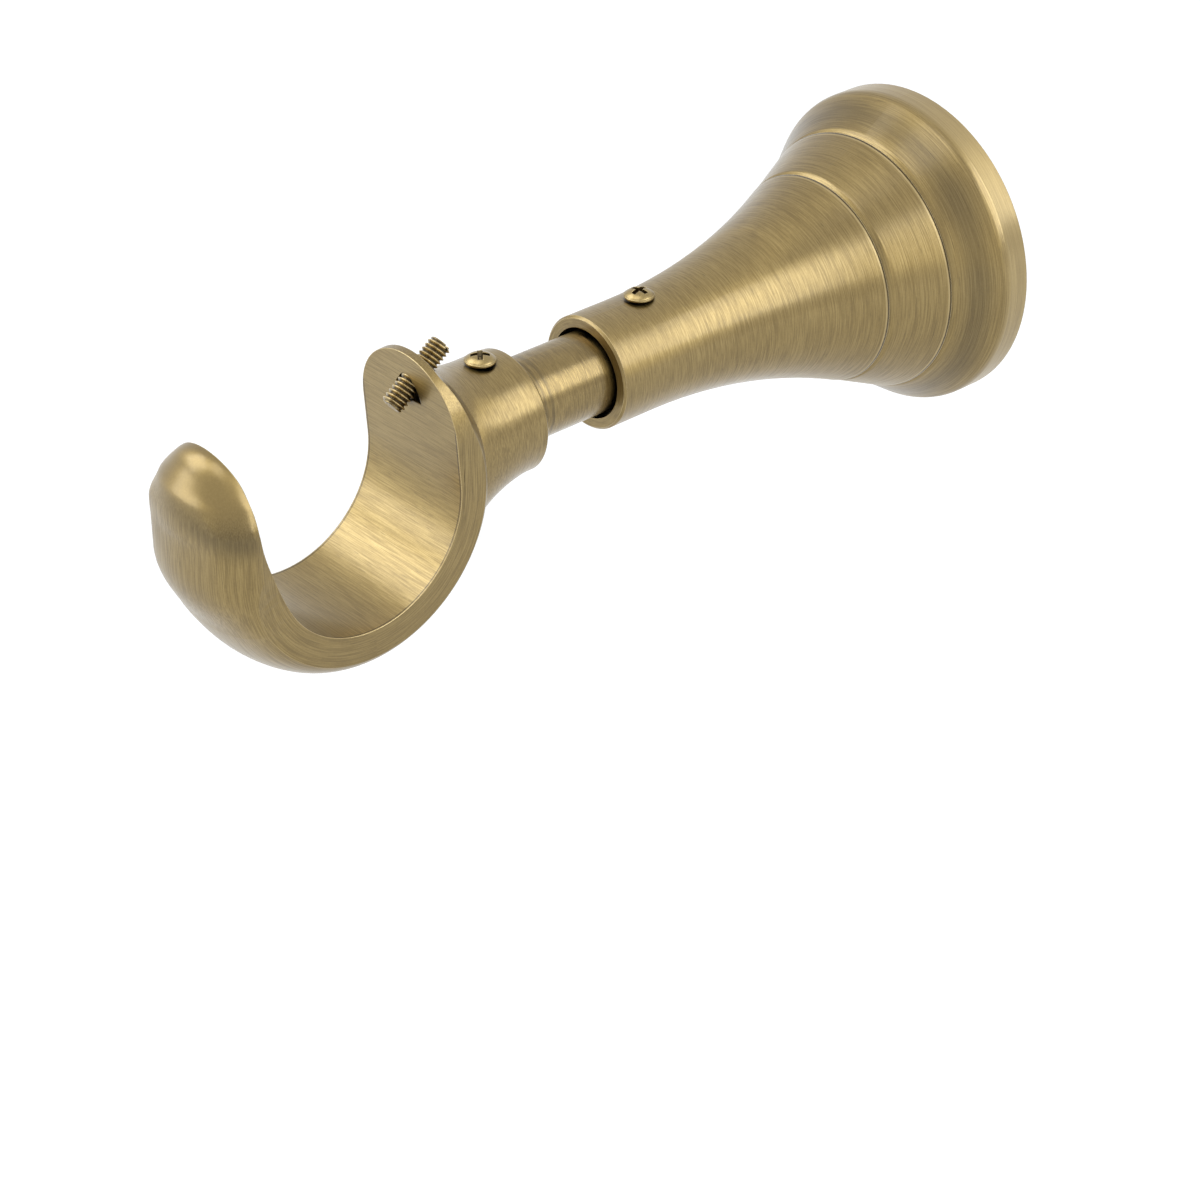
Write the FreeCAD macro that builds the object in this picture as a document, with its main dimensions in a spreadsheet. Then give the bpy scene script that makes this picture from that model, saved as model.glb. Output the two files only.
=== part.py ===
"""Curtain pole bracket: a bell-shaped wall base, a sliding rod and an open hook with a lock screw.

Millimetres. The wall is the plane Y = 0, the bracket projects towards -Y, Z is up and the pole
lies along X. The origin is on the wall, on the axis of the rod. Every piece is drawn with its
reach from the wall along +Y, and then turned half round about Z.
"""
import FreeCAD
import Part
import Sketcher
import math
import os
import re

Vector = FreeCAD.Vector
Rotation = FreeCAD.Rotation
Placement = FreeCAD.Placement

# Driving dimensions: name, value in mm or degrees, meaning
SIZES = [
    ("rim_radius", 30.0, "bell: radius of the rim that stands on the wall"),
    ("rim_edge", 0.3, "bell: small bevel of the rim against the wall"),
    ("rim_wall", 3.0, "bell: wall round the wall plate"),
    ("lip_height", 5.6, "bell: reach of the corner between the lip and the flare"),
    ("lip_round", 3.0, "bell: rounding of that corner"),
    ("near_groove_reach", 14.4, "bell: reach of the groove nearer the wall"),
    ("far_groove_reach", 25.6, "bell: reach of the groove further from the wall"),
    ("near_share", 0.818, "bell: radius in front of the near groove, as a share of the rim's"),
    ("far_share", 0.658, "bell: radius in front of the far groove, as a share of the rim's"),
    ("groove_depth", 0.35, "bell: depth of both grooves on their outer side"),
    ("groove_width", 0.9, "bell: width of the sloping side of both grooves"),
    ("groove_step", 0.25, "bell: how much the bell grows across a groove"),
    ("nose_radius", 10.4, "bell: outer radius of the straight nose"),
    ("nose_straight", 10.0, "bell: length of the straight nose"),
    ("bell_length", 81.0, "bell: reach of the nose end"),
    ("nose_bevel", 0.4, "bell: bevel of the nose end"),
    ("bell_wall", 2.6, "bell: wall behind the flare"),
    ("mouth_radius", 8.3, "bell: radius of the wider mouth around the rod"),
    ("mouth_depth", 6.5, "bell: depth of the wider mouth"),
    ("guide_length", 28.0, "bell: length of the bore that guides the rod"),
    ("bell_screw_back", 12.5, "bell: distance of the rod clamp screw from the nose end"),
    ("plate_thick", 5.0, "wall plate: thickness"),
    ("plate_fit", 0.1, "clearance between the wall plate and the bell"),
    ("plate_bevel", 1.0, "wall plate: bevel of the front edge"),
    ("plate_margin", 4.4, "wall plate: metal outside the countersinks"),
    ("plate_hole", 2.25, "wall plate: radius of the screw holes"),
    ("plate_sink", 4.5, "wall plate: radius of the countersinks"),
    ("grub_radius", 2.0, "base grub screw: radius"),
    ("grub_gap", 0.05, "base grub screw: gap between its point and the wall plate"),
    ("grub_sunk", 0.5, "base grub screw: how deep it sits in the rim"),
    ("grub_point", 0.6, "base grub screw: length of the cone point"),
    ("grub_socket", 0.9, "base grub screw: radius of the hexagon socket's corners"),
    ("grub_socket_depth", 1.2, "base grub screw: depth of the hexagon socket"),
    ("rod_radius", 7.5, "rod: outer radius"),
    ("rod_wall", 1.5, "rod: wall"),
    ("rod_bevel", 0.5, "rod: bevel of both ends"),
    ("rod_inside", 55.5, "rod: length inside the bell"),
    ("rod_gap", 0.3, "rod: gap to the bottom of the hook's socket"),
    ("rod_fit", 0.08, "radial clearance of the rod in the bell and in the hook"),
    ("screw_radius", 1.5, "clamp screws: radius of the shank"),
    ("screw_head", 2.75, "clamp screws: radius of the head"),
    ("screw_head_height", 1.5, "clamp screws: height of the domed head"),
    ("screw_head_rim", 0.5, "clamp screws: straight rim of the head under its dome"),
    ("screw_recess", 1.5, "clamp screws: half width of the cross recess"),
    ("screw_recess_wing", 0.3, "clamp screws: half thickness of the cross recess's wings"),
    ("screw_recess_depth", 1.2, "clamp screws: depth of the cross recess"),
    ("screw_lift", 0.3, "clamp screws: gap between the head and the metal under it"),
    ("screw_tip_gap", 0.1, "clamp screws: gap between the tip and the rod"),
    ("thread_fit", 0.05, "radial clearance of every screw in its thread"),
    ("cradle_reach", 137.4, "hook: reach of the cradle's axis"),
    ("cradle_drop", 3.87, "hook: how far the cradle's axis is below the rod's"),
    ("cradle_radius", 18.5, "hook: radius of the cradle, for a pole of 35 mm"),
    ("cradle_width", 24.8, "hook: width of the cradle along the pole"),
    ("cradle_crown", 9.3, "hook: thickness of the cradle in its middle"),
    ("cradle_side", 3.9, "hook: height of the cradle's flat side faces"),
    ("blank_spare", 0.4, "hook: what the flat side faces take off the blank on each side"),
    ("ring_top", 50.0, "hook: angle up to which the round back of the cradle follows the tab"),
    ("collar_radius", 11.0, "hook: radius of the collar"),
    ("collar_drop", 0.65, "hook: how far the collar hangs below the rod's axis"),
    ("collar_edge", 0.5, "hook: bevel of the collar's end"),
    ("ring_root", -62.0, "hook: angle at which the neck has run out on the cradle's back"),
    ("neck_length", 38.9, "hook: distance from the collar's end to the cradle's axis"),
    ("neck_round", 17.5, "hook: radius of the hollow curve from collar to cradle"),
    ("neck_sunk", 0.2, "hook: how far the end of that curve dives under the crown"),
    ("socket_floor", 22.6, "hook: distance from the bottom of the rod's socket to the cradle's axis"),
    ("hook_screw_back", 5.9, "hook: distance of the clamp screw from the collar's end"),
    ("nose_turn", 26.0, "hook: lean of the cradle where it turns into the nose, degrees"),
    ("nose_lean", 8.0, "hook: lean of the nose's tip away from the pole, degrees"),
    ("nose_bow", 50.0, "hook: radius of the nose's hollow inside between the two"),
    ("nose_swell", 1.1, "hook: swelling of the nose between cradle and tip"),
    ("nose_half", 12.1, "hook: half width of the nose, and height of its rounded tip"),
    ("nose_depth", 8.2, "hook: thickness of the nose in its middle"),
    ("tab_lean", 4.5, "hook: lean of the tab towards the pole, degrees"),
    ("tab_height", 20.3, "hook: height of the tab above the cradle's edge"),
    ("tab_thick", 1.5, "hook: thickness of the tab's top"),
    ("lock_radius", 2.08, "pole lock screw: radius over the thread"),
    ("lock_length", 13.4, "pole lock screw: length"),
    ("lock_ahead", 4.1, "pole lock screw: length ahead of the tab"),
    ("lock_angle", 37.0, "pole lock screw: slope of its axis, degrees"),
    ("lock_height", 13.85, "pole lock screw: height of its hole above the cradle's edge"),
    ("lock_bevel", 0.35, "pole lock screw: bevel of both ends"),
    ("lock_slot", 0.8, "pole lock screw: width and depth of the driver slot"),
    ("lock_mouth", 2.9, "hook: radius of the countersink around the lock screw"),
]

# Sizes that follow from others: name, formula, meaning
FOLLOWING = [
    ("near_radius", "rim_radius * near_share", "bell: radius in front of the near groove"),
    ("far_radius", "rim_radius * far_share", "bell: radius in front of the far groove"),
    ("band_radius", "far_radius + groove_step", "bell: radius behind the far groove"),
    ("foot_radius", "near_radius + groove_step", "bell: radius behind the near groove"),
    ("foot_reach", "near_groove_reach - groove_width", "bell: reach behind the near groove"),
    ("band_reach", "far_groove_reach - groove_width", "bell: reach behind the far groove"),
    ("lip_slope", "atan((rim_radius - foot_radius) / (foot_reach - lip_height))", "bell: slope of the foot"),
    ("lip_run", "lip_round * tan(lip_slope / 2)", "bell: length the lip's rounding takes off each side"),
    ("nose_start", "bell_length - nose_straight", "bell: reach where the flare turns into the nose"),
    ("flare_run", "nose_start - far_groove_reach", "bell: reach of the flare's curve"),
    ("flare_drop", "far_radius - nose_radius", "bell: fall of the flare's curve"),
    ("flare_round", "(flare_run^2 + flare_drop^2) / (2 * flare_drop)", "bell: radius of the flare's curve"),
    ("guide_radius", "rod_radius + rod_fit", "bell and hook: radius of the rod's bore"),
    ("guide_start", "bell_length - mouth_depth - guide_length", "bell: reach of the guiding bore's end"),
    ("guide_rise", "flare_round - sqrt(flare_round^2 - (nose_start - guide_start)^2)", "bell: flare there"),
    ("bell_screw_reach", "bell_length - bell_screw_back", "rod clamp screw: reach"),
    ("plate_seat", "rim_radius - rim_wall", "bell: radius of the seat of the wall plate"),
    ("plate_radius", "plate_seat - plate_fit", "wall plate: radius"),
    ("plate_circle", "plate_radius - plate_sink - plate_margin", "wall plate: radius of the circle of holes"),
    ("grub_tip", "plate_radius + grub_gap", "base grub screw: distance of its point from the axis"),
    ("grub_end", "rim_radius - grub_sunk", "base grub screw: distance of its end from the axis"),
    ("screw_dome", "screw_head_height - screw_head_rim", "clamp screws: height of the dome"),
    ("collar_reach", "cradle_reach - neck_length", "hook: reach of the collar's end face"),
    ("socket_end", "cradle_reach - socket_floor", "hook: reach of the bottom of the rod's socket"),
    ("hook_screw_reach", "collar_reach + hook_screw_back", "hook clamp screw: reach"),
    ("rod_start", "bell_length - rod_inside", "rod: reach of the inner end"),
    ("rod_end", "socket_end - rod_gap", "rod: reach of the outer end"),
    ("blank_half", "cradle_width / 2 + blank_spare", "hook: half width of the blank"),
]
NAMES = [row[0] for row in SIZES + FOLLOWING]

doc = FreeCAD.newDocument("curtain_pole_bracket")
sheet = doc.addObject("Spreadsheet::Sheet", "sizes")
for row, (name, amount, note) in enumerate(SIZES + FOLLOWING, start=1):
    sheet.set("A%d" % row, note)
    sheet.set("B%d" % row, "=" + amount if isinstance(amount, str) else str(amount))
    sheet.setAlias("B%d" % row, name)
doc.recompute()


def formula(text):
    """The text with every size's name pointing at its cell in the sheet."""
    def point(word):
        name = word.group()
        return "sizes." + name if name in NAMES else name
    return re.sub(r"[a-z][a-z_]*", point, text)


def value(text):
    """What a formula of sizes comes to, as a plain number."""
    return float(sheet.evalExpression(formula(text)))


def bind(thing, **formulas):
    """Tie properties to formulas of sizes. A double underscore stands for a dot."""
    for name, text in formulas.items():
        thing.setExpression(name.replace("__", "."), formula(text))
    return thing


def add(kind, name, **formulas):
    """A new object with some properties tied to sizes."""
    return bind(doc.addObject(kind, name), **formulas)


def plane_of(body, role):
    """One of a body's own origin planes."""
    for feature in body.Origin.OriginFeatures:
        if feature.Role == role:
            return feature


def sketch_on(body, role, name):
    """An empty sketch on one of the body's origin planes."""
    sketch = body.newObject("Sketcher::SketchObject", name)
    sketch.AttachmentSupport = [(plane_of(body, role), "")]
    sketch.MapMode = "FlatFace"
    return sketch


def tie_point(sketch, line, end, across, up):
    """Hold one end of a line at two formulas of sizes."""
    for kind, axis, text in (("DistanceX", -2, across), ("DistanceY", -1, up)):
        if text == "0":
            sketch.addConstraint(Sketcher.Constraint("PointOnObject", line, end, axis))
            continue
        index = sketch.addConstraint(Sketcher.Constraint(kind, line, end, value(text)))
        sketch.setExpression("Constraints[%d]" % index, formula(text))


def outline(sketch, corners, arcs=()):
    """A closed outline through corners, each a pair of formulas.

    arcs maps the number of a corner to the radius of the arc that leaves it. A positive radius
    bends to the left of the direction of travel, a negative one to the right.
    """
    arcs = dict(arcs)
    points = [Vector(value(across), value(up), 0) for across, up in corners]
    ends = []
    for number, start in enumerate(points):
        finish = points[(number + 1) % len(points)]
        if number not in arcs:
            line = sketch.addGeometry(Part.LineSegment(start, finish), False)
            ends.append((line, 1, 2))
            continue
        text, side = arcs[number]
        radius = value(text)
        chord = finish - start
        sagitta = radius - math.sqrt(radius ** 2 - (chord.Length / 2) ** 2)
        left = Vector(-chord.y, chord.x, 0).normalize()
        middle = (start + finish) * 0.5 - left * (sagitta * side)
        line = sketch.addGeometry(Part.Arc(start, middle, finish), False)
        first = sketch.getPoint(line, 1)
        ends.append((line, 1, 2) if first.distanceToPoint(start) < 1e-6 else (line, 2, 1))
        index = sketch.addConstraint(Sketcher.Constraint("Radius", line, radius))
        sketch.setExpression("Constraints[%d]" % index, formula(text))
    for number, (line, start, finish) in enumerate(ends):
        following = ends[(number + 1) % len(ends)]
        sketch.addConstraint(Sketcher.Constraint("Coincident", line, finish, following[0], following[1]))
        tie_point(sketch, line, start, *corners[number])


def turned(body, name, corners, arcs=(), axis="H_Axis", kind="PartDesign::Revolution"):
    """A turned form: an outline in the YZ plane, revolved about one of the plane's axes."""
    sketch = sketch_on(body, "YZ_Plane", name + "_profile")
    outline(sketch, corners, arcs)
    feature = body.newObject(kind, name)
    feature.Profile = sketch
    feature.ReferenceAxis = (sketch, [axis])
    feature.Angle = 360
    sketch.Visibility = False
    doc.recompute()
    return feature


def drilled(body, name, across, up, radius, length, upward):
    """A round hole along Z from the XY plane, up or down."""
    sketch = sketch_on(body, "XY_Plane", name + "_circle")
    centre = Vector(value(across), value(up), 0)
    circle = sketch.addGeometry(Part.Circle(centre, Vector(0, 0, 1), value(radius)), False)
    tie_point(sketch, circle, 3, across, up)
    index = sketch.addConstraint(Sketcher.Constraint("Radius", circle, value(radius)))
    sketch.setExpression("Constraints[%d]" % index, formula(radius))
    pocket = body.newObject("PartDesign::Pocket", name)
    pocket.Profile = sketch
    pocket.Type = "Length"
    bind(pocket, Length=length)
    pocket.Reversed = upward
    doc.recompute()
    return pocket


HALF_TURN = Placement(Vector(0, 0, 0), Rotation(Vector(0, 0, 1), 180))


def place(thing, reach="0", height="0"):
    """Turn a piece towards -Y and put it at its reach and height."""
    thing.Placement = HALF_TURN
    bind(thing, Placement__Base__y="-(%s)" % reach, Placement__Base__z=height)
    return thing


def make_bell():
    body = doc.addObject("PartDesign::Body", "bell")
    corners = [
        ("0", "rim_radius - rim_edge"),
        ("rim_edge", "rim_radius"),
        ("lip_height - lip_run", "rim_radius"),
        ("lip_height + lip_run * cos(lip_slope)", "rim_radius - lip_run * sin(lip_slope)"),
        ("foot_reach", "foot_radius"),
        ("near_groove_reach", "near_radius - groove_depth"),
        ("near_groove_reach", "near_radius"),
        ("band_reach", "band_radius"),
        ("far_groove_reach", "far_radius - groove_depth"),
        ("far_groove_reach", "far_radius"),
        ("nose_start", "nose_radius"),
        ("bell_length - nose_bevel", "nose_radius"),
        ("bell_length", "nose_radius - nose_bevel"),
        ("bell_length", "mouth_radius"),
        ("bell_length - mouth_depth", "mouth_radius"),
        ("bell_length - mouth_depth", "guide_radius"),
        ("guide_start", "guide_radius"),
        ("guide_start", "nose_radius + guide_rise - bell_wall"),
        ("plate_thick + plate_fit", "plate_seat - bell_wall"),
        ("plate_thick + plate_fit", "plate_seat"),
        ("0", "plate_seat"),
    ]
    turned(body, "bell_turning", corners, {2: ("lip_round", -1), 9: ("flare_round", 1)})
    drilled(body, "bell_screw_hole", "0", "bell_screw_reach", "screw_radius + thread_fit", "rim_radius", True)
    drilled(body, "bell_grub_hole", "0", "plate_thick / 2",
            "grub_radius + thread_fit", "rim_radius * 2", False)
    return place(body)


def make_wall_plate():
    body = doc.addObject("PartDesign::Body", "wall_plate")
    corners = [
        ("0", "0"),
        ("plate_thick", "0"),
        ("plate_thick", "plate_radius - plate_bevel"),
        ("plate_thick - plate_bevel", "plate_radius"),
        ("0", "plate_radius"),
    ]
    turned(body, "plate_turning", corners)
    sink = "(plate_sink - plate_hole)"
    hole = [
        ("0", "plate_circle"),
        ("plate_thick", "plate_circle"),
        ("plate_thick", "plate_circle + plate_sink"),
        ("plate_thick - " + sink, "plate_circle + plate_hole"),
        ("0", "plate_circle + plate_hole"),
    ]
    sketch = sketch_on(body, "YZ_Plane", "plate_hole_profile")
    outline(sketch, hole)
    groove = body.newObject("PartDesign::Groove", "plate_screw_hole")
    groove.Profile = sketch
    groove.ReferenceAxis = (sketch, ["Edge1"])
    groove.Angle = 360
    doc.recompute()
    pattern = body.newObject("PartDesign::PolarPattern", "plate_screw_holes")
    pattern.Originals = [groove]
    pattern.Axis = (doc.plate_turning_profile, ["H_Axis"])
    pattern.Angle = 360
    pattern.Occurrences = 3
    body.Tip = pattern
    doc.recompute()
    return place(body)


def make_rod():
    body = doc.addObject("PartDesign::Body", "arm_rod")
    inner = "rod_radius - rod_wall"
    corners = [
        ("rod_start", inner),
        ("rod_start", "rod_radius - rod_bevel"),
        ("rod_start + rod_bevel", "rod_radius"),
        ("rod_end - rod_bevel", "rod_radius"),
        ("rod_end", "rod_radius - rod_bevel"),
        ("rod_end", inner),
    ]
    turned(body, "rod_turning", corners)
    return place(body)


def make_base_grub_screw():
    body = doc.addObject("PartDesign::Body", "base_grub_screw")
    corners = [
        ("0", "-grub_tip"),
        ("grub_radius - grub_point", "-grub_tip"),
        ("grub_radius", "-grub_tip - grub_point"),
        ("grub_radius", "-grub_end"),
        ("0", "-grub_end"),
    ]
    turned(body, "grub_turning", corners, axis="V_Axis")
    socket = sketch_on(body, "XY_Plane", "grub_socket_outline")
    socket.setExpression("AttachmentOffset.Base.z", formula("-grub_end"))
    corners = []
    for turn in range(30, 390, 60):
        corners.append(("grub_socket * cos(%d)" % turn, "grub_socket * sin(%d)" % turn))
    outline(socket, corners)
    pocket = body.newObject("PartDesign::Pocket", "grub_socket_pocket")
    pocket.Profile = socket
    pocket.Type = "Length"
    bind(pocket, Length="grub_socket_depth")
    pocket.Reversed = True
    doc.recompute()
    return place(body, "plate_thick / 2")


def make_clamp_screw(name, seat, reach):
    """A pan head screw with a cross recess, pointing down at the rod. seat is the metal's radius."""
    body = doc.addObject("PartDesign::Body", name)
    under = "%s + screw_lift" % seat
    corners = [
        ("0", "rod_radius + screw_tip_gap"),
        ("screw_radius", "rod_radius + screw_tip_gap"),
        ("screw_radius", under),
        ("screw_head", under),
        ("screw_head", under + " + screw_head_rim"),
        ("0", under + " + screw_head_height"),
    ]
    dome = "(screw_head^2 + screw_dome^2) / (2 * screw_dome)"
    turned(body, name + "_turning", corners, {4: (dome, 1)}, axis="V_Axis")
    top = under + " + screw_head_height"
    cross = sketch_on(body, "XY_Plane", name + "_cross")
    cross.setExpression("AttachmentOffset.Base.z", formula(top))
    wing, arm = "screw_recess_wing", "screw_recess"
    corners = [
        (arm, "-" + wing), (arm, wing), (wing, wing), (wing, arm), ("-" + wing, arm), ("-" + wing, wing),
        ("-" + arm, wing), ("-" + arm, "-" + wing), ("-" + wing, "-" + wing), ("-" + wing, "-" + arm),
        (wing, "-" + arm), (wing, "-" + wing),
    ]
    outline(cross, corners)
    pocket = body.newObject("PartDesign::Pocket", name + "_recess")
    pocket.Profile = cross
    pocket.Type = "Length"
    bind(pocket, Length="screw_recess_depth")
    doc.recompute()
    return place(body, reach)


# Hook: places in its side view, reach along Y and height along Z
UNIT_CIRCLE = Part.Circle(Vector(0, 0, 0), Vector(0, 0, 1), 1)


def side_view(angle, radius):
    """A point about the cradle's axis. Angle 0 points at the wall, -90 down, -180 away from it."""
    turn = math.radians(angle)
    reach = value("cradle_reach") - radius * math.cos(turn)
    height = -value("cradle_drop") + radius * math.sin(turn)
    return Vector(0, reach, height)



def stretched(circle, centre, wide, tall):
    """A part of the unit circle in the XY plane, put at centre with the half axes wide and tall."""
    out = wide.cross(tall)
    frame = FreeCAD.Matrix(
        wide.x, tall.x, out.x, centre.x,
        wide.y, tall.y, out.y, centre.y,
        wide.z, tall.z, out.z, centre.z,
        0, 0, 0, 1)
    return circle.toShape().transformGeometry(frame)


def crowned(origin, outward, half, side, crown):
    """A section with straight sides of height side under a half oval, standing inside the pole's space."""
    inside = -2.0
    across = Vector(half, 0, 0)
    foot, top = origin + outward * inside, origin + outward * side
    oval = stretched(Part.ArcOfCircle(UNIT_CIRCLE, 0, math.pi), top, across, outward * (crown - side))
    corners = [top - across, foot - across, foot + across, top + across]
    return Part.Wire([oval] + [Part.makeLine(one, two) for one, two in zip(corners, corners[1:])])


def make_cradle(name, first, last):
    """A stretch of the cradle: a crowned section turned about the cradle's axis."""
    turn = math.radians(first)
    outward = Vector(0, -math.cos(turn), math.sin(turn))
    section = doc.addObject("Part::Feature", name + "_section")
    section.Shape = Part.Face(crowned(
        side_view(first, value("cradle_radius")), outward,
        value("blank_half"), value("cradle_side"), value("cradle_crown")))
    cradle = doc.addObject("Part::Revolution", name)
    cradle.Source = section
    cradle.Base = side_view(0, 0)
    cradle.Axis = Vector(1, 0, 0)
    cradle.Angle = first - last
    return cradle


def nose_frame(lean):
    """A point on the nose's inside where it leans by so many degrees, and its outward direction."""
    turn = math.radians(value("nose_turn"))
    first = Vector(0, math.cos(turn), -math.sin(turn))
    lean = math.radians(lean)
    outward = Vector(0, math.cos(lean), -math.sin(lean))
    start = side_view(value("nose_turn - 180"), value("cradle_radius"))
    return start + (outward - first) * value("nose_bow"), outward


def make_nose():
    """The nose: from the cradle's section, with a slight swelling, to a half oval."""
    first, last = value("nose_turn"), value("nose_lean")
    blank, half, side = value("blank_half"), value("nose_half"), value("cradle_side")
    crown, depth = value("cradle_crown"), value("nose_depth")
    sections = []
    for share in (0.0, 0.25, 0.5, 0.75, 1.0):
        origin, outward = nose_frame(first + (last - first) * share)
        fade = share * share * (3 - 2 * share)
        swell = value("nose_swell") * math.sin(math.pi * share) ** 2
        sections.append(crowned(
            origin, outward, blank + (half - blank) * fade, side * (1 - fade),
            crown + (depth - crown) * fade + swell))
    nose = doc.addObject("Part::Feature", "nose")
    nose.Shape = Part.makeLoft(sections, True, False)
    return nose


def make_nose_tip():
    """The nose's rounded tip: a quarter oval turned half round."""
    origin, outward = nose_frame(value("nose_lean"))
    deep, across = outward * value("nose_depth"), Vector(value("nose_half"), 0, 0)
    foot = origin - outward
    arc = stretched(Part.ArcOfCircle(UNIT_CIRCLE, 0, math.pi / 2), origin, across, deep)
    corners = [origin + deep, foot, foot + across, origin + across]
    lines = [Part.makeLine(one, two) for one, two in zip(corners, corners[1:])]
    tip = doc.addObject("Part::Feature", "nose_tip")
    tip.Shape = Part.Face(Part.Wire([arc] + lines)).revolve(origin, outward, -180)
    return tip


def neck_depth(reach, drop):
    """Distance of the neck's surface from the rod's axis, above it or below it.

    The surface is straight along the collar, then a hollow curve, then the cradle's outside.
    drop is how far the cradle's axis lies beyond the rod's axis on that side.
    """
    collar, bend = value("collar_radius"), value("neck_round")
    ball = value("cradle_radius + cradle_crown - neck_sunk")
    centre = value("cradle_reach")
    run = math.sqrt((ball + bend) ** 2 - (collar + bend - drop) ** 2)
    touch = centre - ball * run / (ball + bend)
    if reach <= centre - run:
        return collar
    if reach <= touch:
        return collar + bend - math.sqrt(bend ** 2 - (reach - centre + run) ** 2)
    return drop + math.sqrt(ball ** 2 - (centre - reach) ** 2)


def make_neck():
    """Collar and neck: a loft of ovals that grow and sink towards the cradle."""
    first, last = value("collar_reach + collar_edge"), value("cradle_reach - cradle_radius")
    drop, sag = value("cradle_drop"), value("collar_drop")
    collar, blank = value("collar_radius"), value("blank_half")
    ovals = []
    for share in (0.0, 0.2, 0.4, 0.6, 0.8, 1.0):
        reach = first + (last - first) * share
        below, above = neck_depth(reach, drop), neck_depth(reach, -drop)
        centre = Vector(0, reach, (above - below) / 2 - sag * (1 - share ** 3))
        tall = Vector(0, 0, (above + below) / 2)
        wide = Vector(collar + (blank - collar) * share ** 1.5, 0, 0)
        ovals.append(Part.Wire([stretched(UNIT_CIRCLE, centre, wide, tall)]))
    neck = doc.addObject("Part::Feature", "neck")
    neck.Shape = Part.makeLoft(ovals, True, False)
    edge = add("Part::Cone", "collar_bevel", Radius1="collar_radius - collar_edge", Radius2="collar_radius",
               Height="collar_edge")
    edge.Placement = Placement(Vector(0, first - value("collar_edge"), -sag), Rotation(Vector(1, 0, 0), -90))
    return joined("Part::Fuse", "collar", neck, edge)


def tab_frame():
    """Where the tab leaves the cradle, its upward direction and its direction towards the wall."""
    lean = math.radians(value("tab_lean"))
    upward = Vector(0, math.sin(lean), math.cos(lean))
    inward = Vector(0, -math.cos(lean), math.sin(lean))
    return side_view(value("tab_lean"), value("cradle_radius")), upward, inward


def round_topped(foot, upward, half, height, below):
    """A flat face with a full-round top, height above the foot and reaching below it."""
    across = Vector(half, 0, 0)
    low, shoulder, top = foot - upward * below, foot + upward * (height - half), foot + upward * height
    edges = [
        Part.makeLine(low - across, low + across),
        Part.makeLine(low + across, shoulder + across),
        Part.Arc(shoulder + across, top, shoulder - across).toShape(),
        Part.makeLine(shoulder - across, low - across),
    ]
    return Part.Face(Part.Wire(edges))


def make_tab():
    """The flat tab with a full-round top that stands behind the pole."""
    foot, upward, inward = tab_frame()
    face = round_topped(foot, upward, value("cradle_width / 2"), value("tab_height"), 0)
    tab = doc.addObject("Part::Feature", "tab")
    tab.Shape = face.extrude(inward * value("tab_thick"))
    return tab


def make_side_trim():
    """What the side faces and the tab's round top leave of the blank."""
    foot, upward, inward = tab_frame()
    half, below = value("cradle_width / 2"), value("cradle_reach")
    face = round_topped(foot, upward, half, value("tab_height"), below)
    length = value("cradle_reach")
    face.translate(inward * length)
    wall_side = face.extrude(inward * (-length - 1.3 * value("cradle_radius")))
    far_side = Part.makeBox(2 * half, length, 2 * length, Vector(-half, length, -length))
    trim = doc.addObject("Part::Feature", "side_trim")
    trim.Shape = wall_side.fuse(far_side)
    return trim


def make_pole_space():
    """The space of the pole: its round seat and the open way in from above."""
    foot, up_tab, inward = tab_frame()
    start, outward = nose_frame(value("nose_turn"))
    middle = nose_frame(value("(nose_turn + nose_lean) / 2"))[0]
    finish, outward = nose_frame(value("nose_lean"))
    up_nose = Vector(0, -outward.z, outward.y)
    far = 4 * value("cradle_radius")
    centre = side_view(0, 0)
    nose_end = finish + up_nose * far
    corners = [nose_end, foot + up_tab * far, foot, centre, start]
    lines = [Part.makeLine(one, two) for one, two in zip(corners, corners[1:])]
    bow = Part.Arc(start, middle, finish).toShape()
    way_in = Part.Face(Part.Wire(lines + [bow, Part.makeLine(finish, nose_end)]))
    shift = Vector(-value("cradle_width"), 0, 0)
    way_in.translate(shift)
    width = 2 * value("cradle_width")
    seat = Part.makeCylinder(value("cradle_radius"), width, centre + shift, Vector(1, 0, 0))
    space = doc.addObject("Part::Feature", "pole_space")
    space.Shape = way_in.extrude(Vector(width, 0, 0)).fuse(seat)
    return space


def lock_line():
    """Where the lock screw's axis meets the tab's front, and its direction towards the wall."""
    foot, upward, inward = tab_frame()
    mouth = foot + upward * value("lock_height")
    slope = math.radians(value("lock_angle"))
    return mouth, Vector(0, -math.cos(slope), math.sin(slope))


def joined(kind, name, base, tool):
    """Two pieces put together by one operation."""
    thing = doc.addObject(kind, name)
    thing.Base = base
    thing.Tool = tool
    thing.Refine = False
    return thing


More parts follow.
